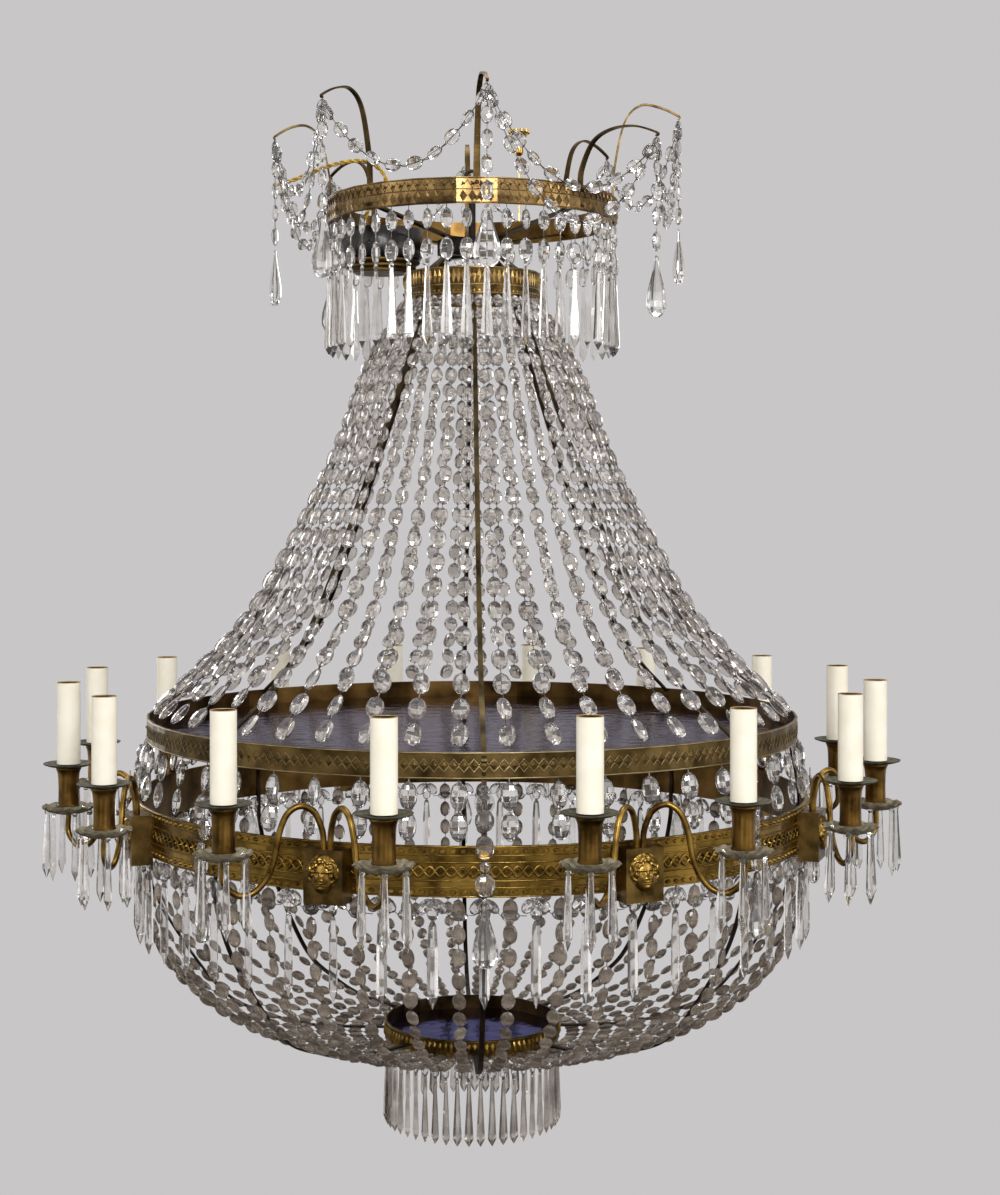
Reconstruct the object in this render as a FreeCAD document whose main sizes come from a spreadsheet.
import FreeCAD, Part
import math
import os
import Sketcher

from FreeCAD import Placement, Rotation, Vector

# Crystal chandelier for sixteen candles, in millimetres. The origin is the top of the hanging ring, +Z is up
# and the front faces -Y. Drops are measured down from the origin. Eight bays go round the vertical axis: the
# stems, ribs and crown arms stand at the bays' edges and the bracket boxes at their middles. The hoops are
# bent in flats, one for each bead strand, and a strand hangs at each corner between two flats.

SIZES = (
    ("bays", 8, "stems, ribs, crown arms and bracket boxes round the axis"),
    ("strands_per_bay", 6, "bead strands in each bay of the curtain and the basket"),
    ("hoop_wall", 2, "thickness of each brass hoop"),
    ("strip", 2, "thickness of stems, ribs and crown arms"),
    ("stay_strip", 2.5, "thickness of the stays at the hub"),
    ("seat_gap", 0.2, "air between a hung crystal's pin and what carries it"),
    ("swing_gap", 0.3, "air between a pear drop and its string"),
    # hanging ring, eye and hub
    ("ring_radius", 8.5, "hanging ring, to the middle of its wire"),
    ("ring_wire", 4, "diameter of the hanging ring's wire"),
    ("eye_radius", 6, "eye, to the middle of its wire"),
    ("eye_wire", 3.5, "diameter of the eye's wire"),
    ("link_gap", 0.3, "air between the eye and the ring that it hangs on"),
    ("shank_radius", 4, "shank under the eye"),
    ("hub_drop", 80, "top of the hub plate"),
    ("hub_height", 15, "thickness of the hub plate"),
    ("hub_radius", 38, "hub plate, across flats"),
    ("stay_width", 8, "width of the hub's stays"),
    # hoops, each by its outer radius across flats, the drop of its top and its height
    ("crown_radius", 158, "crown band"),
    ("crown_drop", 36, "crown band's top"),
    ("crown_height", 27, "crown band"),
    ("collar_radius", 74, "collar band"),
    ("collar_gap", 53, "collar band's top below the crown band"),
    ("collar_height", 29, "collar band"),
    ("main_radius", 352, "main band"),
    ("curtain_fall", 451, "main band's top below the collar band"),
    ("main_height", 25, "main band"),
    ("arm_band_flare", 11, "arm band's radius beyond the main band's"),
    ("gallery_height", 59, "arm band's top below the main band"),
    ("arm_band_height", 47, "arm band"),
    ("foot_radius", 95, "bottom band"),
    ("basket_depth", 206, "bottom band's top below the arm band"),
    ("foot_height", 20, "bottom band"),
    # crown arms and what hangs from them
    ("crown_tip_reach", 228, "crown arm's tip from the axis"),
    ("crown_tip_rise", 45, "crown arm's tip above the origin"),
    ("crown_arch_rise", 17, "crown arm's highest point above its tip"),
    ("crown_arm_width", 9, "crown arm at its rivets"),
    ("crown_tip_width", 3, "crown arm at its tip"),
    ("crown_string_length", 120, "bead string under a crown arm's tip"),
    ("crown_bead_radius", 5, "beads of the crown's strings and swags"),
    ("swag_sag", 62, "fall of a bead swag between two crown arms"),
    ("crown_pear_length", 62, "pear drop of the crown"),
    ("crown_pear_width", 29, "pear drop of the crown"),
    ("crown_fringe_length", 146, "bead string and prism under the crown band"),
    ("crown_prism_length", 86, "prism of the crown fringe"),
    ("crown_prism_radius", 4.5, "prism of the crown fringe"),
    ("coronet_rise", 63, "gilt coronet's top above the origin"),
    ("coronet_radius", 13, "gilt coronet"),
    ("coronet_height", 11, "gilt coronet above its neck"),
    # ceiling cup, lying on the collar
    ("cup_offset", 26, "ceiling cup's axis outside the collar band, to the left"),
    ("cup_radius", 47, "ceiling cup"),
    ("cup_height", 34, "ceiling cup's wall"),
    ("cup_wall", 2, "ceiling cup's wall thickness"),
    ("cup_base_height", 13, "stepped brass base of the ceiling cup"),
    ("cup_base_radius", 30, "smallest step of that base"),
    ("flex_diameter", 5, "twisted pair of the supply flex"),
    # stems, curtain and main disc
    ("stem_width", 5, "width of a stem"),
    ("stem_inset", 12, "stems inside the curtain"),
    ("curtain_top_bead", 4, "curtain bead radius at the collar"),
    ("curtain_bottom_bead", 8.5, "curtain bead radius at the main band"),
    ("disc_clearance", 9, "blue glass disc inside the main band's outer face"),
    ("disc_thickness", 4, "blue glass disc"),
    ("ledge_width", 12, "flat ring that carries the disc"),
    ("ledge_thickness", 1.5, "flat ring that carries the disc"),
    ("ledge_rise", 1, "underside of that ring above the main band's lower edge"),
    # strings round the arm band
    ("gallery_bead_radius", 7, "beads between the main band and the arm band"),
    ("waist_standoff", 15, "waist strings outside the arm band"),
    ("waist_overhang", 3, "lower end of the waist strings below the arm band"),
    ("waist_bead_radius", 6.5, "largest bead of the waist strings"),
    ("waist_pear_length", 58, "pear drop at the waist"),
    ("waist_pear_width", 25, "pear drop at the waist"),
    ("pear_thickness", 14, "pear drops, front to back"),
    ("arm_fringe_length", 106, "bead and prism under the arm band"),
    ("arm_prism_length", 79, "prism of the arm band's fringe"),
    ("arm_prism_radius", 5, "prism of the arm band's fringe"),
    # basket and foot
    ("rib_width", 5, "width of a basket rib"),
    ("rib_inset", 15, "ribs inside the basket's beads"),
    ("rib_foot_lap", 10, "rib's end below the bottom band's top"),
    ("basket_bead_radius", 6, "basket beads"),
    ("basket_foot_lap", 14, "basket strand's end below the bottom band's top"),
    ("dish_clearance", 1, "air round the lower glass, inside the bottom band"),
    ("dish_depth", 14, "lower glass below the bottom band's top"),
    ("dish_thickness", 3, "lower glass"),
    ("dish_lip_width", 3, "lip inside the bottom band, under the glass"),
    ("dish_lip_thickness", 2, "lip inside the bottom band, under the glass"),
    ("foot_fringe_length", 94, "bead and prism under the bottom band"),
    ("foot_prism_length", 67, "prism of the bottom fringe"),
    ("foot_prism_radius", 4, "prism of the bottom fringe"),
    # bracket boxes, arms and lights
    ("box_width", 39, "bracket box"),
    ("box_height", 50, "bracket box"),
    ("box_depth", 22, "bracket box"),
    ("box_lap", 4, "bracket box's top below the arm band's"),
    ("arm_diameter", 6, "arm tube"),
    ("arm_root_spacing", 9, "between the two arms of a box"),
    ("arm_root_depth", 10, "arm's root behind the box's front"),
    ("arm_arch_rise", 39, "arm's highest point above the box's top"),
    ("arm_bend_fall", 40, "arm's lowest point below the box's top"),
    ("light_standoff", 64, "candle's axis outside the arm band, along its bracket"),
    ("light_spacing", 158, "between the two candles of a bracket"),
    ("pan_fall", 8, "drip pan's underside below the box's top"),
    ("pan_height", 8, "drip pan"),
    ("pan_radius", 28, "drip pan"),
    ("pan_scallop", 2.5, "depth of the drip pan's scallops"),
    ("pan_foot_radius", 12, "drip pan's flat foot"),
    ("pan_prisms", 6, "prisms under each drip pan"),
    ("pan_prism_circle", 24, "prisms from the candle's axis"),
    ("pan_prism_length", 73, "prism under a drip pan"),
    ("pan_prism_radius", 4, "prism under a drip pan"),
    ("holder_cup_height", 41, "turned cup under the candle"),
    ("holder_cup_radius", 12, "turned cup's ends"),
    ("holder_cup_waist", 10.5, "turned cup's waist"),
    ("wax_dish_radius", 24.5, "small dish under the candle"),
    ("wax_dish_height", 3, "small dish under the candle"),
    ("sleeve_radius", 12.25, "candle sleeve"),
    ("sleeve_wall", 1, "candle sleeve"),
    ("sleeve_height", 85, "candle sleeve"),
    ("socket_clearance", 0.5, "air round a lampholder in its sleeve"),
    ("socket_recess", 3, "lampholder's mouth below the sleeve's"),
    ("socket_bore_radius", 7, "lampholder's bore for an E14 cap"),
    ("socket_bore_depth", 24, "lampholder's bore"),
)

# Places worked out from the sizes, as sums of them; each can be named as a size
SUMS = {
    "collar_drop": "crown_drop + crown_height + collar_gap",
    "main_drop": "collar_drop + collar_height + curtain_fall",
    "arm_band_drop": "main_drop + main_height + gallery_height",
    "arm_band_radius": "main_radius + arm_band_flare",
    "foot_drop": "arm_band_drop + arm_band_height + basket_depth",
    "cup_reach": "collar_radius + cup_offset",
    "disc_radius": "main_radius - disc_clearance",
    "waist_string_drop": "arm_band_drop + arm_band_height + waist_overhang",
    "rib_foot_drop": "foot_drop + rib_foot_lap",
    "basket_foot_drop": "foot_drop + basket_foot_lap",
    "dish_radius": "foot_radius - hoop_wall - dish_clearance",
    "dish_seat_drop": "foot_drop + dish_depth + dish_thickness",
    "box_drop": "arm_band_drop + box_lap",
    "arm_arch_drop": "box_drop - arm_arch_rise",
    "arm_bend_drop": "box_drop + arm_bend_fall",
    "pan_drop": "box_drop + pan_fall",
    "light_reach": "arm_band_radius + light_standoff",
}

# Shape of the curtain's hang: (share of its fall, share of its spread), from the collar to the main band
TENT_BENDS = ((0.35, 0.28), (0.74, 0.6))

# Shape of the basket: (share of its depth, share of the way in), from the arm band to the bottom band
BASKET_BENDS = ((0.42, 0.05), (0.8, 0.27), (0.99, 0.65))

# Shape of a crown arm above its band, up to its tip's hook: (share of the way out, share of its rise)
CROWN_BENDS = ((0.03, 0.35), (0.18, 0.82), (0.42, 1.0), (0.72, 0.98))

# How each crown arm is bent by hand, from the front one towards +X: (turn in degrees, further out, lower)
ARM_BENDS = ((6, 0, 0), (-2, 30, 44), (0, 0, -10), (0, 6, 4), (0, 0, 0), (0, 0, 30), (0, -12, 15), (0, -6, 2))

# Shape of an S-shaped arm: (share of the way to the candle, height as a share of its arch or its bend)
ARM_ARCH = ((0.04, 0.55), (0.15, 0.95), (0.3, 0.98), (0.43, 0.6))
ARM_BEND = ((0.55, 0.3), (0.68, 0.95), (0.87, 0.98), (1.0, 0.5))

# The supply flex's route, from its bare ends over the crown band to the bottom of the ceiling cup
FLEX_ROUTE = (
    (-213, -20, -23),
    (-193, -20, -17),
    (-170, -18, -6),
    (-145, -15, 3),
    (-121, -11, 7),
    (-100, -8, -1),
    (-92, -11, -19),
    (-103, -17, -36),
    (-117, -18, -53),
    (-117, -12, -71),
    (-107, -6, -86),
    (-107, -6, -101),
)

UP = Vector(0, 0, 1)
AXIS = Vector(0, 0, 0)

doc = FreeCAD.newDocument("crystal_chandelier")
sheet = doc.addObject("Spreadsheet::Sheet", "Sizes")
for row, (alias, value, meaning) in enumerate(SIZES, start=1):
    sheet.set(f"A{row}", meaning)
    sheet.set(f"B{row}", str(value))
    sheet.setAlias(f"B{row}", alias)
doc.recompute()

SUBPARTS = []


def rule(alias):
    """The expression for a size, or for a place that is a sum of sizes."""
    if alias not in SUMS:
        return f"Sizes.{alias}"
    words = SUMS[alias].split()
    return "(" + " ".join(word if word in "+-" else rule(word) for word in words) + ")"


def size(alias):
    """The value of a size, or of a place that is a sum of sizes."""
    if alias not in SUMS:
        return float(sheet.get(alias))
    total, sign = 0, 1
    for word in SUMS[alias].split():
        if word in "+-":
            sign = 1 if word == "+" else -1
        else:
            total += sign * size(word)
    return total


def bind(item, **expressions):
    """Tie an object's properties to the sheet; a double underscore stands for a dot in a property's path."""
    for path, expression in expressions.items():
        item.setExpression(path.replace("__", "."), expression)
    return item


def keep(item, label):
    item.Label = label
    SUBPARTS.append(item)
    return item


BAYS = int(size("bays"))
STRANDS = int(size("bays") * size("strands_per_bay"))
FLAT_TURN = 360 / STRANDS
FLATS = "Sizes.bays * Sizes.strands_per_bay"
WIDE_FLATS = f"{FLATS} / 2"
BAY_EDGES = [360 / BAYS * bay for bay in range(BAYS)]
BAY_MIDDLES = [edge + 180 / BAYS for edge in BAY_EDGES]
CORNERS = [FLAT_TURN * (strand + 0.5) for strand in range(STRANDS)]
TO_CORNER = 1 / math.cos(math.radians(FLAT_TURN / 2))

# Sides of the polygons that stand for round pieces
HUB_SIDES = 16
CEILING_CUP_SIDES = 16
HOLDER_CUP_SIDES = 8
WAX_DISH_SIDES = 8
SLEEVE_SIDES = 8
SOCKET_SIDES = 8
SHANK_SIDES = 8
STRING_SIDES = 3
ARM_SIDES = 4
CORD_SIDES = 5
RING_SEGMENTS = 12
RING_SIDES = 5

# How far a cutting solid passes the faces that it cuts through
OVERRUN = 1


# Solids of flat facets, for cut crystal and for what repeats many times


def flat_face(points):
    return Part.Face(Part.makePolygon(list(points) + [points[0]]))


def facets(a, b, c, d):
    """The facet between two edges: one face where its four corners are in a plane, and otherwise two."""
    corners = []
    for point in (a, b, c, d):
        if not any(point.isEqual(other, 1e-6) for other in corners):
            corners.append(point)
    if len(corners) < 3:
        return []
    if len(corners) == 3:
        return [flat_face(corners)]
    normal = (b - a).cross(d - a).normalize()
    if abs((c - a).dot(normal)) < 1e-7:
        return [flat_face(corners)]
    return [flat_face((a, b, c)), flat_face((a, c, d))]


def faceted(rings):
    """The closed solid through rings of points. A ring whose points are all alike is a tip."""
    faces = []
    for end in (rings[0], rings[-1]):
        if not end[0].isEqual(end[1], 1e-6):
            faces.append(flat_face(end))
    for lower, upper in zip(rings, rings[1:]):
        for i in range(len(lower)):
            j = (i + 1) % len(lower)
            faces += facets(lower[i], lower[j], upper[j], upper[i])
    shell = Part.makeShell(faces)
    shell.sewShape()
    solid = Part.makeSolid(shell)
    if solid.Volume < 0:
        solid.reverse()
    return solid


def level_ring(radius, height, sides, reach=0, squash=1, start=0):
    """A level polygon round a vertical axis at `reach` along +X; squash flattens it along X."""
    turns = [math.radians(start + 360 * i / sides) for i in range(sides)]
    return [Vector(reach + radius * squash * math.cos(t), radius * math.sin(t), height) for t in turns]


def turned_piece(profile, sides, reach=0, squash=1):
    """A faceted turned piece from its (radius, height) pairs."""
    return faceted([level_ring(radius, height, sides, reach, squash) for radius, height in profile])


def path_rings(path, sections, level_start=False, level_end=False):
    """Sections on the mitres of a path of (reach, height) points; a section is a list of (out, across)."""
    points = [Vector(reach, 0, height) for reach, height in path]
    runs = [(after - before).normalize() for before, after in zip(points, points[1:])]
    across = Vector(0, 1, 0)
    rings = []
    for i, (point, section) in enumerate(zip(points, sections)):
        before = runs[max(i - 1, 0)]
        after = runs[min(i, len(runs) - 1)]
        out = across.cross(after)
        mitre = (across.cross(before) + out).normalize()
        if (level_start and i == 0) or (level_end and i == len(points) - 1):
            mitre = Vector(1, 0, 0)
        mitre = mitre * (1 / mitre.dot(out))
        rings.append([point + mitre * o + across * a for o, a in section])
    return rings


def strip_section(thickness, width):
    half, side = thickness / 2, width / 2
    return ((half, side), (-half, side), (-half, -side), (half, -side))


def bead_section(radius, sides=STRING_SIDES):
    turns = [math.radians(360 * i / sides) for i in range(sides)]
    return [(radius * math.cos(t), radius * math.sin(t)) for t in turns]


def turned(shape, angle, reach=0, height=0):
    """A copy that was made along +X, moved to `angle` degrees from the front towards +X."""
    copy = shape.copy()
    copy.translate(Vector(reach, 0, height))
    copy.rotate(AXIS, UP, angle - 90)
    return copy


def group(label, solids):
    item = doc.addObject("Part::Feature", label)
    item.Shape = Part.makeCompound(solids) if len(solids) > 1 else solids[0]
    return keep(item, label)


# Hoops, discs and plates: prisms bound to the sheet


def prism(name, sides, across_flats, height, drop):
    """A prism standing on its drop, its flats facing the bays' edges."""
    item = doc.addObject("Part::Prism", name)
    bind(
        item,
        Polygon=sides,
        Circumradius=f"({across_flats}) / cos(180 deg / ({sides}))",
        Height=height,
        Placement__Rotation__Angle=f"180 deg / ({sides})",
        Placement__Base__z=f"-({drop})",
    )
    return item


def flat_ring(label, radius, drop, height, flats, wall="Sizes.hoop_wall"):
    """A flat-sided ring with a plain bore, by its outer radius, its top's drop and its height."""
    bottom = f"{drop} + {height}"
    outer = prism(f"{label}_outside", flats, radius, height, bottom)
    deep, below = f"{height} + {2 * OVERRUN}", f"{bottom} + {OVERRUN}"
    inner = prism(f"{label}_inside", flats, f"{radius} - {wall}", deep, below)
    cut = doc.addObject("Part::Cut", label)
    cut.Base = outer
    cut.Tool = inner
    return cut


def hoop(label, name, flats):
    """One of the brass hoops, by its name in the sheet."""
    return flat_ring(label, rule(f"{name}_radius"), rule(f"{name}_drop"), rule(f"{name}_height"), flats)


def make_hoops():
    for label, name, flats in (
        ("crown_band", "crown", WIDE_FLATS),
        ("collar_band", "collar", WIDE_FLATS),
        ("main_band", "main", FLATS),
        ("arm_band", "arm_band", FLATS),
    ):
        keep(hoop(label, name, flats), label)


def make_foot_hoop():
    """The bottom band, and the lip inside it that its glass lies on."""
    bore = f"{rule('foot_radius')} - Sizes.hoop_wall"
    seat, thickness = rule("dish_seat_drop"), "Sizes.dish_lip_thickness"
    band = doc.addObject("Part::Fuse", "bottom_band")
    band.Base = hoop("foot_hoop", "foot", WIDE_FLATS)
    band.Tool = flat_ring("dish_lip", bore, seat, thickness, WIDE_FLATS, "Sizes.dish_lip_width")
    band.Refine = True
    keep(band, "bottom_band")


LEDGE_TOP = f"({rule('main_drop')} + Sizes.main_height - Sizes.ledge_rise - Sizes.ledge_thickness)"


def make_disc():
    """The blue glass disc on its flat ring, which the ribs carry inside the main band."""
    inside_ribs = "(Sizes.main_radius - Sizes.hoop_wall - Sizes.strip)"
    thickness, width = "Sizes.ledge_thickness", "Sizes.ledge_width"
    ledge = flat_ring("disc_ledge", inside_ribs, LEDGE_TOP, thickness, FLATS, width)
    keep(ledge, "disc_ledge")
    disc = prism("glass_disc", WIDE_FLATS, rule("disc_radius"), "Sizes.disc_thickness", LEDGE_TOP)
    keep(disc, "glass_disc")


# Hanging ring, eye, hub and stays


def link(radius, wire, segments, sides, axis):
    """A round link of faceted wire, its hole along `axis`, centred on the origin."""
    wire_ring = [
        (radius + wire / 2 * math.cos(t), wire / 2 * math.sin(t))
        for t in (math.radians(360 * (i + 0.5) / sides) for i in range(sides))
    ]
    faces = []
    spokes = []
    for k in range(segments):
        turn = math.radians(360 * (k + 0.5) / segments)
        if axis == "Y":
            spokes.append([Vector(r * math.sin(turn), w, r * math.cos(turn)) for r, w in wire_ring])
        else:
            spokes.append([Vector(w, r * math.sin(turn), r * math.cos(turn)) for r, w in wire_ring])
    for k in range(segments):
        here, there = spokes[k], spokes[(k + 1) % segments]
        for i in range(sides):
            j = (i + 1) % sides
            faces += facets(here[i], here[j], there[j], there[i])
    shell = Part.makeShell(faces)
    shell.sewShape()
    solid = Part.makeSolid(shell)
    if solid.Volume < 0:
        solid.reverse()
    return solid


def make_hanger():
    radius, wire = size("ring_radius"), size("ring_wire")
    centre_drop = radius + wire / 2
    ring = doc.addObject("Part::Feature", "hanging_ring")
    ring.Shape = link(radius, wire, RING_SEGMENTS, RING_SIDES, "Y")
    ring.Placement = Placement(Vector(0, 0, -centre_drop), Rotation())
    keep(ring, "hanging_ring")

    eye_wire = size("eye_wire")
    seat = centre_drop + radius - wire / 2
    eye_drop = seat - size("link_gap") - eye_wire / 2 + size("eye_radius")
    eye = link(size("eye_radius"), eye_wire, RING_SEGMENTS, RING_SIDES, "X")
    eye.translate(Vector(0, 0, -eye_drop))
    shank_top = eye_drop + size("eye_radius")
    thick = size("shank_radius")
    shank = turned_piece(((thick, -size("hub_drop")), (thick, -shank_top)), SHANK_SIDES)
    group("suspension_eye", [eye.fuse(shank).removeSplitter().Solids[0]])

    hub_bottom = "Sizes.hub_drop + Sizes.hub_height"
    hub = prism("hub_plate", str(HUB_SIDES), "Sizes.hub_radius", "Sizes.hub_height", hub_bottom)
    keep(hub, "hub_plate")


def make_stays():
    """Four flat stays up to the crown band and four down to the collar, riveted inside the arms and stems."""
    strip, wall, flat = size("stay_strip"), size("hoop_wall"), size("strip")
    section = strip_section(strip, size("stay_width"))
    hub_top, hub_bottom = -size("hub_drop"), -size("hub_drop") - size("hub_height")
    crown_face = size("crown_radius") - wall - flat - strip / 2
    crown_top, crown_bottom = -size("crown_drop"), -size("crown_drop") - size("crown_height")
    inner, outer = size("shank_radius") + strip, size("hub_radius")
    up = (
        (inner, hub_top + strip / 2),
        (outer, hub_top + strip / 2),
        (crown_face, crown_bottom + size("crown_height") / 4),
        (crown_face, crown_top - strip),
    )
    collar_face = size("collar_radius") - wall - flat - strip / 2
    collar_top, collar_bottom = -size("collar_drop"), -size("collar_drop") - size("collar_height")
    down = (
        (inner, hub_bottom - strip / 2),
        (outer - strip, hub_bottom - strip / 2),
        (collar_face, collar_top - strip),
        (collar_face, collar_bottom + strip),
    )
    stays = []
    for edge in BAY_EDGES[1::2]:
        for path in (up, down):
            stays.append(turned(faceted(path_rings(path, [section] * len(path))), edge))
    group("hub_stays", stays)


# Crown: arms, coronet, fringe, swags, strings and pears


def crown_arm_path(further_out, lower):
    """Middle line of a crown arm, riveted inside the band and ending in a hook that points down."""
    root = size("crown_radius") - size("hoop_wall") - size("strip") / 2
    tip_reach = size("crown_tip_reach") + further_out
    tip_height = size("crown_tip_rise") - lower
    top = -size("crown_drop")
    crest = tip_height + size("crown_arch_rise")
    path = [(root, top - size("crown_height") + 1), (root, top)]
    for out, rise in CROWN_BENDS:
        path.append((root + (tip_reach - root) * out, top + (crest - top) * rise))
    path.append((tip_reach, tip_height + 4))
    path.append((tip_reach, tip_height))
    return path


def crown_tips():
    """Each crown arm's (angle from the front, reach, height of its tip)."""
    tips = []
    for edge, (turn, further_out, lower) in zip(BAY_EDGES, ARM_BENDS):
        tips.append((edge, turn, size("crown_tip_reach") + further_out, size("crown_tip_rise") - lower))
    return tips


def tip_point(tip, down=0):
    """The place of a crown arm's tip; a bent arm turns about its rivets in the band."""
    edge, turn, reach, height = tip
    root = size("crown_radius") - size("hoop_wall")
    bend, face = math.radians(turn), math.radians(edge)
    out = root + (reach - root) * math.cos(bend)
    across = (reach - root) * math.sin(bend)
    x = out * math.sin(face) + across * math.cos(face)
    y = -out * math.cos(face) + across * math.sin(face)
    return Vector(x, y, height - down)


def make_crown_arms():
    wide, narrow = size("crown_arm_width"), size("crown_tip_width")
    root = size("crown_radius") - size("hoop_wall")
    arms = []
    for edge, (turn, further_out, lower) in zip(BAY_EDGES, ARM_BENDS):
        path = crown_arm_path(further_out, lower)
        last = len(path) - 1
        sections = []
        for i in range(len(path)):
            share = max(0, i - 1) / (last - 1)
            width = wide + (narrow - wide) * share
            sections.append(strip_section(size("strip") * (1 - 0.3 * share), width))
        rings = path_rings(path, sections, level_end=True)
        for ring in rings[2:]:
            for i, corner in enumerate(ring):
                out = corner.x - root
                bend = math.radians(turn)
                ring[i] = Vector(
                    root + out * math.cos(bend) - corner.y * math.sin(bend),
                    out * math.sin(bend) + corner.y * math.cos(bend),
                    corner.z,
                )
        arms.append(turned(faceted(rings), edge))
    group("crown_arms", arms)


STRING_TOP_RADIUS = 1.5
PIN_RADIUS = 1


def hung_string(top, profile):
    """A straight string of beads below `top`, from its (radius, drop) pairs."""
    solid = turned_piece([(radius, -drop) for radius, drop in profile], STRING_SIDES)
    solid.translate(top)
    return solid


def pear(length, width, thickness):
    """A pear drop hanging from the origin, its flat side across X."""
    half = width / 2
    shares = ((0, 0), (0.45, 0.35), (1, 0.7), (0.7, 0.9), (0, 1))
    profile = [(half * wide, -length * down) for wide, down in shares]
    return turned_piece(profile, 6, squash=thickness / width)


def make_pears(prefix, tops, length, width):
    """Pear drops, each at its (place, angle from the front)."""
    drop = pear(length, width, size("pear_thickness"))
    for number, (place, angle) in enumerate(tops, start=1):
        item = doc.addObject("Part::Feature", f"{prefix}_{number}")
        item.Shape = drop
        item.Placement = Placement(place, Rotation(UP, angle - 90))
        keep(item, f"{prefix}_{number}")


def make_crown_strings():
    length, bead = size("crown_string_length"), size("crown_bead_radius")
    profile = (
        (STRING_TOP_RADIUS, 0),
        (STRING_TOP_RADIUS, length * 0.08),
        (bead, length * 0.25),
        (STRING_TOP_RADIUS, length * 0.5),
        (bead, length * 0.75),
        (0, length),
    )
    tips = crown_tips()
    group("crown_strings", [hung_string(tip_point(tip), profile) for tip in tips])
    tops = [(tip_point(tip, length + size("swing_gap")), tip[0]) for tip in tips]
    make_pears("crown_pear", tops, size("crown_pear_length"), size("crown_pear_width"))


def swag(start, end, sag, bead):
    """A swag of beads between two points, pointed at both ends."""
    side = (end - start).cross(UP).normalize()
    shares = (0, 0.2, 0.5, 0.8, 1)
    radii = (0, bead, bead, bead, 0)
    rings = []
    for share, radius in zip(shares, radii):
        centre = start + (end - start) * share - UP * (4 * sag * share * (1 - share))
        slope = (end - start) - UP * (4 * sag * (1 - 2 * share))
        rise = side.cross(slope.normalize())
        rings.append([centre + side * across + rise * up for up, across in bead_section(radius)])
    return faceted(rings)


def make_crown_swags():
    tips = crown_tips()
    reach = STRING_TOP_RADIUS + size("seat_gap")
    drop = size("crown_string_length") * 0.04
    swags = []
    for this, following in zip(tips, tips[1:] + tips[:1]):
        start, end = tip_point(this, drop), tip_point(following, drop)
        way = Vector(end.x - start.x, end.y - start.y, 0).normalize() * reach
        swags.append(swag(start + way, end - way, size("swag_sag"), size("crown_bead_radius") * 0.8))
    group("crown_swags", swags)


def fringe(label, radius, drop, angles, length, prism_length, prism_radius, beads):
    """Prisms below a hoop's edge, each on its short string of beads."""
    reach = radius - size("hoop_wall") / 2
    string = length - prism_length
    profile = [(0, size("seat_gap"))]
    for bead in range(beads):
        profile.append((prism_radius, string * (bead + 0.5) / beads))
    profile.append((PIN_RADIUS, string - PIN_RADIUS))
    profile.append((prism_radius, string + prism_length * 0.88))
    profile.append((0, length))
    solid = turned_piece([(r, -d) for r, d in profile], STRING_SIDES)
    group(label, [turned(solid, angle, reach * corner_share(angle), -drop) for angle in angles])


def corner_share(angle):
    """How much further from the axis a hoop's wall is at a strand than at the middle of a flat."""
    off_flat = angle / FLAT_TURN % 1
    return TO_CORNER if abs(off_flat - 0.5) < 0.01 else 1


def make_crown_fringe():
    fringe(
        "crown_fringe",
        size("crown_radius"),
        size("crown_drop") + size("crown_height"),
        CORNERS,
        size("crown_fringe_length"),
        size("crown_prism_length"),
        size("crown_prism_radius"),
        1,
    )


CORONET_ANGLE = 157.5


def make_coronet():
    """Gilt coronet on a thin stalk that stands on the crown band's back edge."""
    top, height, radius = size("coronet_rise"), size("coronet_height"), size("coronet_radius")
    profile = (
        (0.8, -size("crown_drop")),
        (1.5, top - height * 1.8),
        (radius * 0.35, top - height),
        (radius, top),
    )
    reach = size("crown_radius") - size("hoop_wall") / 2
    group("coronet", [turned(turned_piece(profile, 6), CORONET_ANGLE, reach)])


# Ceiling cup and supply flex


def make_ceiling_cup():
    radius, wall, height = size("cup_radius"), size("cup_wall"), size("cup_height")
    base, foot = size("cup_base_height"), size("cup_base_radius")
    seat = -size("collar_drop")
    floor = seat + base
    shell = turned_piece(
        (
            (radius, floor),
            (radius, floor + height),
            (radius - wall, floor + height),
            (radius - wall, floor + wall),
        ),
        CEILING_CUP_SIDES,
    )
    step = (radius - foot) / 2
    steps = turned_piece(
        (
            (foot, seat),
            (foot + step, seat + base * 0.3),
            (foot + step, seat + base * 0.6),
            (radius - wall, floor),
        ),
        CEILING_CUP_SIDES,
    )
    for solid, label in ((shell, "ceiling_cup"), (steps, "cup_base")):
        solid.translate(Vector(-size("cup_reach"), 0, 0))
        group(label, [solid])


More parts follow.
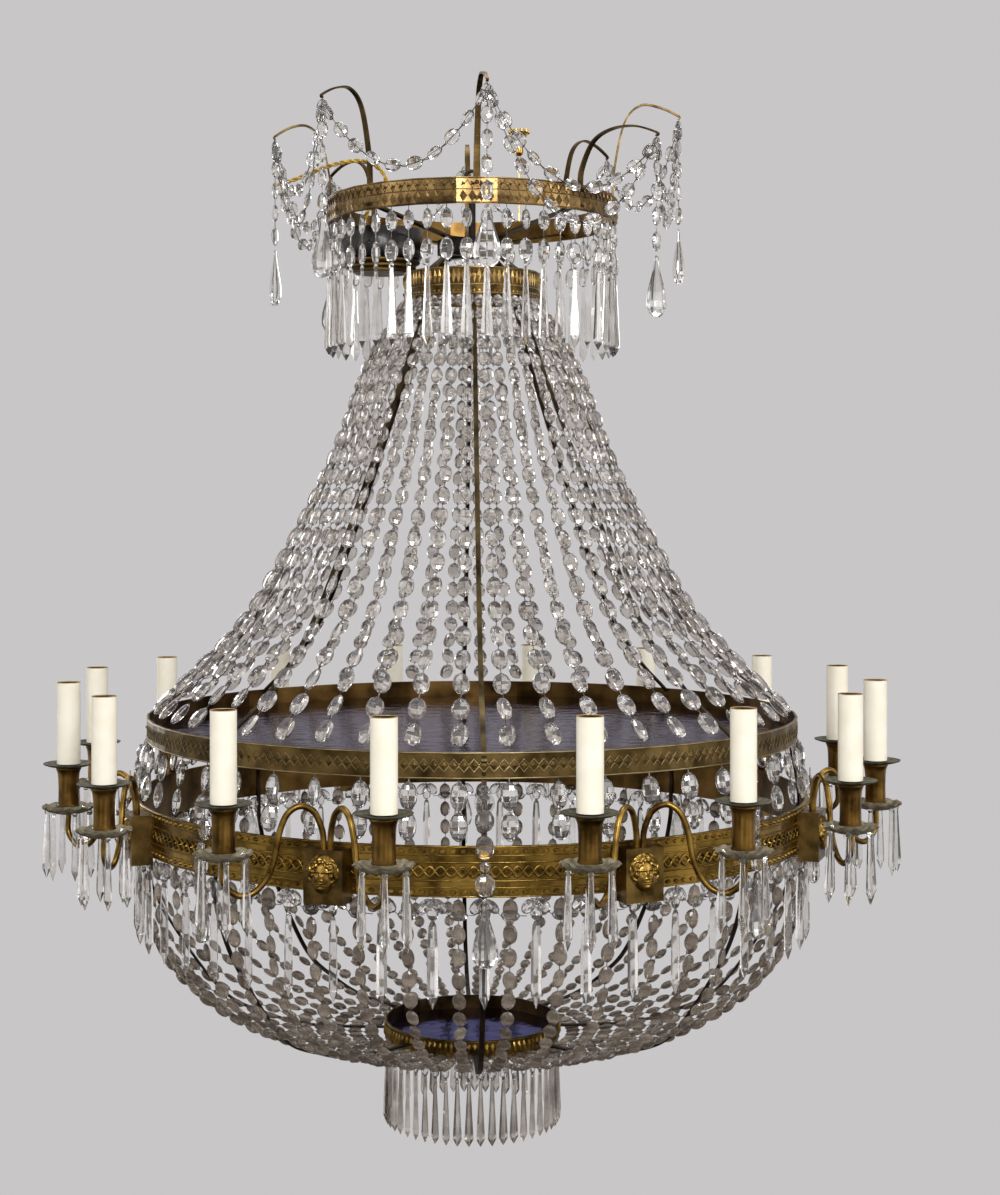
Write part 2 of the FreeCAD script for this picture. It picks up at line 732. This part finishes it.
def make_flex():
    """The free supply flex: straight runs joined by tangent arcs, faceted."""
    diameter = size("flex_diameter")
    floor = -size("collar_drop") + size("cup_base_height") + size("cup_wall")
    route = [Vector(*point) for point in FLEX_ROUTE]
    route[-1] = Vector(route[-1].x, route[-1].y, floor)
    route[-2] = Vector(route[-1].x, route[-1].y, route[-2].z)
    edges, radii, places = [], [], [route[0]]
    tangents = [(route[1] - route[0]).normalize()]
    for before, corner, after in zip(route, route[1:], route[2:]):
        come, leave = (corner - before), (after - corner)
        half_turn = come.getAngle(leave) / 2
        cut = 0.45 * min(come.Length, leave.Length)
        come, leave = come.normalize(), leave.normalize()
        radii.append(cut / math.tan(half_turn))
        start, end = corner - come * cut, corner + leave * cut
        inward = (leave - come).normalize()
        middle = corner + inward * (radii[-1] * (1 / math.cos(half_turn) - 1))
        edges += [Part.LineSegment(places[-1], start).toShape(), Part.Arc(start, middle, end).toShape()]
        places += [start, middle, end]
        tangents += [come, (come + leave).normalize(), leave]
    edges.append(Part.LineSegment(places[-1], route[-1]).toShape())
    places.append(route[-1])
    tangents.append((route[-1] - route[-2]).normalize())
    line = Part.Wire(edges)
    side = tangents[0].cross(UP).normalize()
    rings = []
    for place, tangent in zip(places, tangents):
        side = (side - tangent * side.dot(tangent)).normalize()
        rise = tangent.cross(side)
        turns = [math.radians(360 * i / CORD_SIDES) for i in range(CORD_SIDES)]
        rings.append([place + (side * math.cos(t) + rise * math.sin(t)) * (diameter / 2) for t in turns])
    tube = faceted(rings)
    section = CORD_SIDES / 2 * math.sin(math.radians(360 / CORD_SIDES)) * (diameter / 2) ** 2
    print(f"flex: length {line.Length:.1f} mm, smallest radius {min(radii):.1f} mm")
    print(f"flex: volume {tube.Volume:.0f}, section times length {section * line.Length:.0f} cubic mm")
    group("supply_flex", [tube])


# Stems, curtain and strings


def tent_points(inset=0):
    """The curtain's bends between the collar and the main band, as (reach, height)."""
    top_reach, low_reach = size("collar_radius"), size("main_radius")
    top = -size("collar_drop") - size("collar_height")
    low = -size("main_drop")
    return [
        (top_reach + (low_reach - top_reach) * spread - inset, top + (low - top) * fall)
        for fall, spread in TENT_BENDS
    ]


def make_stems():
    wall, flat = size("hoop_wall"), size("strip")
    collar_face = size("collar_radius") - wall - flat / 2
    main_face = size("main_radius") - wall - flat / 2
    collar_top = -size("collar_drop")
    collar_bottom = collar_top - size("collar_height")
    main_top = -size("main_drop")
    path = [(collar_face, collar_top - flat), (collar_face, collar_bottom)]
    path += tent_points(size("stem_inset"))
    path += [(main_face, main_top - flat), (main_face, main_top - size("main_height") * 0.45)]
    section = strip_section(flat, size("stem_width"))
    stem = faceted(path_rings(path, [section] * len(path)))
    group("stems", [turned(stem, edge) for edge in BAY_EDGES])


def make_curtain():
    wall = size("hoop_wall")
    collar_bottom = -size("collar_drop") - size("collar_height")
    path = [((size("collar_radius") - wall / 2) * TO_CORNER, collar_bottom)]
    path += tent_points()
    path += [((size("main_radius") - wall / 2) * TO_CORNER, -size("main_drop"))]
    small, large = size("curtain_top_bead"), size("curtain_bottom_bead")
    sections = [bead_section(small + (large - small) * i / (len(path) - 1)) for i in range(len(path))]
    strand = faceted(path_rings(path, sections, level_start=True, level_end=True))
    group("curtain_strands", [turned(strand, angle) for angle in CORNERS])


def make_gallery():
    """Short strings from the main band's lower edge to the arm band's upper edge, at the hoops' corners."""
    wall, gap, bead = size("hoop_wall"), size("seat_gap"), size("gallery_bead_radius")
    top = (size("main_radius") - wall / 2) * TO_CORNER, -size("main_drop") - size("main_height") - gap
    low = (size("arm_band_radius") - wall / 2) * TO_CORNER, -size("arm_band_drop") + gap
    rings = []
    for share, radius in ((0, 0), (0.27, bead), (0.73, bead), (1, 0)):
        reach = top[0] + (low[0] - top[0]) * share
        rings.append(level_ring(radius, top[1] + (low[1] - top[1]) * share, STRING_SIDES, reach))
    string = faceted(rings)
    group("gallery_strings", [turned(string, angle) for angle in CORNERS])


def make_waist_strings():
    """Strings with a rosette from the main band over the arm band, each with a pear drop that swings."""
    reach = size("arm_band_radius") + size("waist_standoff")
    start = size("main_radius") - size("hoop_wall") / 2, -size("main_drop") - size("main_height")
    low = -size("waist_string_drop")
    bead = size("waist_bead_radius")
    rings = [level_ring(0, start[1] - size("seat_gap"), STRING_SIDES, start[0] + 1)]
    rosette = start[1] - size("gallery_height") * 0.37
    rings.append(level_ring(bead * 0.7, rosette, STRING_SIDES, start[0] + (reach - start[0]) * 0.45))
    rings.append(level_ring(bead * 0.8, -size("arm_band_drop"), STRING_SIDES, reach))
    rings.append(level_ring(bead, low + size("arm_band_height") / 3, STRING_SIDES, reach))
    rings.append(level_ring(0, low, STRING_SIDES, reach))
    string = faceted(rings)
    group("waist_strings", [turned(string, edge) for edge in BAY_EDGES])
    tops = []
    for edge in BAY_EDGES:
        face = math.radians(edge)
        place = Vector(reach * math.sin(face), -reach * math.cos(face), low - size("swing_gap"))
        tops.append((place, edge))
    make_pears("waist_pear", tops, size("waist_pear_length"), size("waist_pear_width"))


def make_arm_fringe():
    fringe(
        "arm_band_fringe",
        size("arm_band_radius"),
        size("arm_band_drop") + size("arm_band_height"),
        [FLAT_TURN * flat for flat in range(STRANDS)],
        size("arm_fringe_length"),
        size("arm_prism_length"),
        size("arm_prism_radius"),
        0,
    )


# Basket, bottom band's dish and fringe


def basket_points(inset=0):
    """The basket's bends between the arm band and the bottom band, as (reach, height)."""
    top, low = -size("arm_band_drop") - size("arm_band_height"), -size("basket_foot_drop") - 4
    wide, narrow = size("arm_band_radius"), size("foot_radius")
    return [
        (wide + (narrow - wide) * way_in - inset, top + (low - top) * depth + inset * 0.6 * depth)
        for depth, way_in in BASKET_BENDS
    ]


def make_ribs():
    """Iron ribs from inside the main band, past the arm band and round the basket to the bottom band."""
    wall, flat = size("hoop_wall"), size("strip")
    main_face = size("main_radius") - wall - flat / 2
    arm_face = size("arm_band_radius") - wall - flat / 2
    main_top = -size("main_drop")
    arm_top = -size("arm_band_drop")
    path = [
        (main_face, main_top - size("main_height") * 0.5),
        (main_face, main_top - size("main_height")),
        (arm_face, arm_top - flat),
        (arm_face, arm_top - size("arm_band_height")),
    ]
    path += basket_points(size("rib_inset"))
    path.append((size("foot_radius"), -size("rib_foot_drop")))
    section = strip_section(flat, size("rib_width"))
    rings = path_rings(path, [section] * len(path))
    for corner in rings[-1]:
        corner.x = size("foot_radius")
    rib = faceted(rings)
    group("basket_ribs", [turned(rib, edge) for edge in BAY_EDGES])


def make_basket():
    wall, gap = size("hoop_wall"), size("seat_gap")
    start = (size("arm_band_radius") - wall / 2) * TO_CORNER
    path = [(start, -size("arm_band_drop") - size("arm_band_height") - gap)]
    path += basket_points()
    path.append((size("foot_radius") * TO_CORNER + gap, -size("basket_foot_drop")))
    bead = size("basket_bead_radius")
    radii = [0] + [bead, bead, bead * 0.7] + [0]
    sections = [bead_section(radius) for radius in radii]
    strand = faceted(path_rings(path, sections))
    group("basket_strands", [turned(strand, angle) for angle in CORNERS])


def make_dish():
    """The flat blue glass on the bottom band's lip."""
    seat = rule("dish_seat_drop")
    keep(prism("glass_dish", WIDE_FLATS, rule("dish_radius"), "Sizes.dish_thickness", seat), "glass_dish")


def make_foot_fringe():
    fringe(
        "bottom_fringe",
        size("foot_radius"),
        size("foot_drop") + size("foot_height"),
        CORNERS,
        size("foot_fringe_length"),
        size("foot_prism_length"),
        size("foot_prism_radius"),
        0,
    )


# Bracket boxes, arms and lights


def make_bracket(number, angle):
    """A cast box on the arm band, padded outwards from the band's flat."""
    body = doc.addObject("PartDesign::Body", f"bracket_{number}")
    side = next(f for f in body.Origin.OriginFeatures if f.Role == "YZ_Plane")
    outline = body.newObject("Sketcher::SketchObject", f"box_outline_{number}")
    outline.AttachmentSupport = [(side, "")]
    outline.MapMode = "FlatFace"
    rectangle(outline, size("box_width"), size("box_height"), "Sizes.box_width", "Sizes.box_height")
    box = body.newObject("PartDesign::Pad", f"box_{number}")
    box.Profile = outline
    bind(box, Length="Sizes.box_depth")
    face = math.radians(angle)
    reach = size("arm_band_radius")
    middle = -size("box_drop") - size("box_height") / 2
    place = Vector(reach * math.sin(face), -reach * math.cos(face), middle)
    body.Placement = Placement(place, Rotation(UP, angle - 90))
    return keep(body, f"bracket_{number}")


def rectangle(sketch, width, height, width_rule, height_rule):
    """A rectangle centred on the sketch's origin, its sides driven by the sheet."""
    corners = [
        Vector(-width / 2, -height / 2, 0),
        Vector(width / 2, -height / 2, 0),
        Vector(width / 2, height / 2, 0),
        Vector(-width / 2, height / 2, 0),
    ]
    for start, end in zip(corners, corners[1:] + corners[:1]):
        sketch.addGeometry(Part.LineSegment(start, end), False)
    for line in range(4):
        sketch.addConstraint(Sketcher.Constraint("Coincident", line, 2, (line + 1) % 4, 1))
    sketch.addConstraint(Sketcher.Constraint("Horizontal", 0))
    sketch.addConstraint(Sketcher.Constraint("Horizontal", 2))
    sketch.addConstraint(Sketcher.Constraint("Vertical", 1))
    sketch.addConstraint(Sketcher.Constraint("Vertical", 3))
    sketch.addConstraint(Sketcher.Constraint("Symmetric", 0, 1, 1, 2, -1, 1))
    sketch.addConstraint(Sketcher.Constraint("DistanceX", 0, 1, 0, 2, width))
    sketch.setExpression("Constraints[9]", width_rule)
    sketch.addConstraint(Sketcher.Constraint("DistanceY", 1, 1, 1, 2, height))
    sketch.setExpression("Constraints[10]", height_rule)


def light_places():
    """Each light's (bracket angle, arm root's reach and side, candle's reach and side)."""
    root_reach = size("arm_band_radius") + size("box_depth") - size("arm_root_depth")
    places = []
    for angle in BAY_MIDDLES:
        for side in (-1, 1):
            root = Vector(root_reach, side * size("arm_root_spacing") / 2, 0)
            candle = Vector(size("light_reach"), side * size("light_spacing") / 2, 0)
            places.append((angle, root, candle))
    return places


def arm_rings(root, candle):
    """An S-shaped arm: up from the box over its arch, down round its bend and up to the drip pan."""
    start, end = -size("box_drop"), -size("pan_drop")
    arch, bend = -size("arm_arch_drop"), -size("arm_bend_drop")
    length = (candle - root).Length
    middle = (start + bend) / 2
    path = [(0, start)]
    path += [(length * way, start + (arch - start) * rise) for way, rise in ARM_ARCH]
    path += [(length * way, middle + (bend - middle) * fall) for way, fall in ARM_BEND]
    path.append((length, end))
    section = bead_section(size("arm_diameter") / 2, ARM_SIDES)
    return path_rings(path, [section] * len(path), level_start=True, level_end=True)


def make_arms():
    arms = []
    for angle, root, candle in light_places():
        arm = faceted(arm_rings(root, candle))
        way = candle - root
        arm.rotate(AXIS, UP, math.degrees(math.atan2(way.y, way.x)))
        arm.translate(root)
        arms.append(turned(arm, angle))
    group("swan_arms", arms)


def first_lobe(root, candle):
    """Direction of a drip pan's first lobe, half a lobe from the arm."""
    way = candle - root
    return math.degrees(math.atan2(way.y, way.x)) + 180 / size("pan_prisms")


def pan_solid():
    radius, foot, height = size("pan_radius"), size("pan_foot_radius"), size("pan_height")
    lobes = int(size("pan_prisms"))
    rim = []
    for i in range(2 * lobes):
        turn = math.radians(180 * i / lobes)
        reach = radius - size("pan_scallop") * (i % 2)
        rim.append(Vector(reach * math.cos(turn), reach * math.sin(turn), height))
    return faceted([level_ring(foot, 0, 2 * lobes), rim])


def make_lights():
    """The sixteen lights, piece by piece from the drip pan up to the candle sleeve and its lampholder."""
    pan_top = -size("pan_drop") + size("pan_height")
    cup_top = pan_top + size("holder_cup_height")
    dish_top = cup_top + size("wax_dish_height")
    foot, waist = size("holder_cup_radius"), size("holder_cup_waist")
    rise = size("holder_cup_height")
    cup = turned_piece(((foot, 0), (waist, rise * 0.4), (foot, rise)), HOLDER_CUP_SIDES)
    wax = size("wax_dish_radius")
    dish = turned_piece(((wax * 0.8, 0), (wax, size("wax_dish_height"))), WAX_DISH_SIDES)

    outside = doc.addObject("Part::Prism", "sleeve_outside")
    sides = str(SLEEVE_SIDES)
    bind(outside, Polygon=sides, Circumradius="Sizes.sleeve_radius", Height="Sizes.sleeve_height")
    inside = doc.addObject("Part::Prism", "sleeve_inside")
    bore_rule = "Sizes.sleeve_radius - Sizes.sleeve_wall"
    bind(inside, Polygon=sides, Circumradius=bore_rule, Height="Sizes.sleeve_height")
    sleeve = doc.addObject("Part::Cut", "sleeve_pattern")
    sleeve.Base = outside
    sleeve.Tool = inside
    plug = doc.addObject("Part::Prism", "socket_blank")
    bind(
        plug,
        Polygon=str(SOCKET_SIDES),
        Circumradius="Sizes.sleeve_radius - Sizes.sleeve_wall - Sizes.socket_clearance",
        Height="Sizes.sleeve_height - Sizes.socket_recess",
    )
    bore = doc.addObject("Part::Prism", "socket_bore")
    bind(
        bore,
        Polygon=str(SOCKET_SIDES),
        Circumradius="Sizes.socket_bore_radius",
        Height=f"Sizes.socket_bore_depth + {OVERRUN}",
        Placement__Base__z="Sizes.sleeve_height - Sizes.socket_recess - Sizes.socket_bore_depth",
    )
    socket = doc.addObject("Part::Cut", "socket_pattern")
    socket.Base = plug
    socket.Tool = bore
    doc.recompute()

    pieces = (
        ("drip_pans", pan_solid(), -size("pan_drop")),
        ("candle_cups", cup, pan_top),
        ("wax_dishes", dish, cup_top),
        ("candle_sleeves", sleeve.Shape.Solids[0], dish_top),
        ("lampholders", socket.Shape.Solids[0], dish_top),
    )
    for label, solid, height in pieces:
        copies = []
        for angle, root, candle in light_places():
            moved = solid.copy()
            moved.rotate(AXIS, UP, first_lobe(root, candle))
            moved.translate(Vector(candle.x, candle.y, height))
            copies.append(turned(moved, angle))
        group(label, copies)


def make_pan_prisms():
    """Prisms under the lobes of each drip pan, kept clear of the arm that rises to the pan."""
    circle, count = size("pan_prism_circle"), int(size("pan_prisms"))
    slope = size("pan_height") / (size("pan_radius") - size("pan_foot_radius"))
    top = -size("pan_drop") + slope * (circle - size("pan_foot_radius")) - size("seat_gap")
    length, radius = size("pan_prism_length"), size("pan_prism_radius")
    drop = turned_piece(((0, 0), (radius, -length * 0.2), (0, -length)), STRING_SIDES)
    prisms = []
    for angle, root, candle in light_places():
        first = first_lobe(root, candle)
        for prism_number in range(count):
            turn = math.radians(first + 360 / count * prism_number)
            place = candle + Vector(circle * math.cos(turn), circle * math.sin(turn), top)
            copy = drop.copy()
            copy.translate(place)
            prisms.append(turned(copy, angle))
    group("pan_prisms", prisms)


make_hoops()
make_foot_hoop()
make_disc()
make_hanger()
make_stays()
make_crown_arms()
make_crown_strings()
make_crown_swags()
make_crown_fringe()
make_coronet()
make_ceiling_cup()
make_flex()
make_stems()
make_curtain()
make_gallery()
make_waist_strings()
make_arm_fringe()
make_ribs()
make_basket()
make_dish()
make_foot_fringe()
for bracket_number, bracket_angle in enumerate(BAY_MIDDLES, start=1):
    make_bracket(bracket_number, bracket_angle)
make_arms()
make_lights()
make_pan_prisms()
doc.recompute()

for item in doc.Objects:
    if "Invalid" in item.State or "Error" in item.State:
        raise RuntimeError(f"{item.Label} is {item.State}")
for item in SUBPARTS:
    if item.Shape.isNull() or not item.Shape.isValid():
        raise RuntimeError(f"{item.Label} has no valid shape")

os.makedirs("parts", exist_ok=True)
for item in SUBPARTS:
    item.Shape.exportStep(f"parts/{item.Label}.step")
print(f"{len(SUBPARTS)} sub-parts")
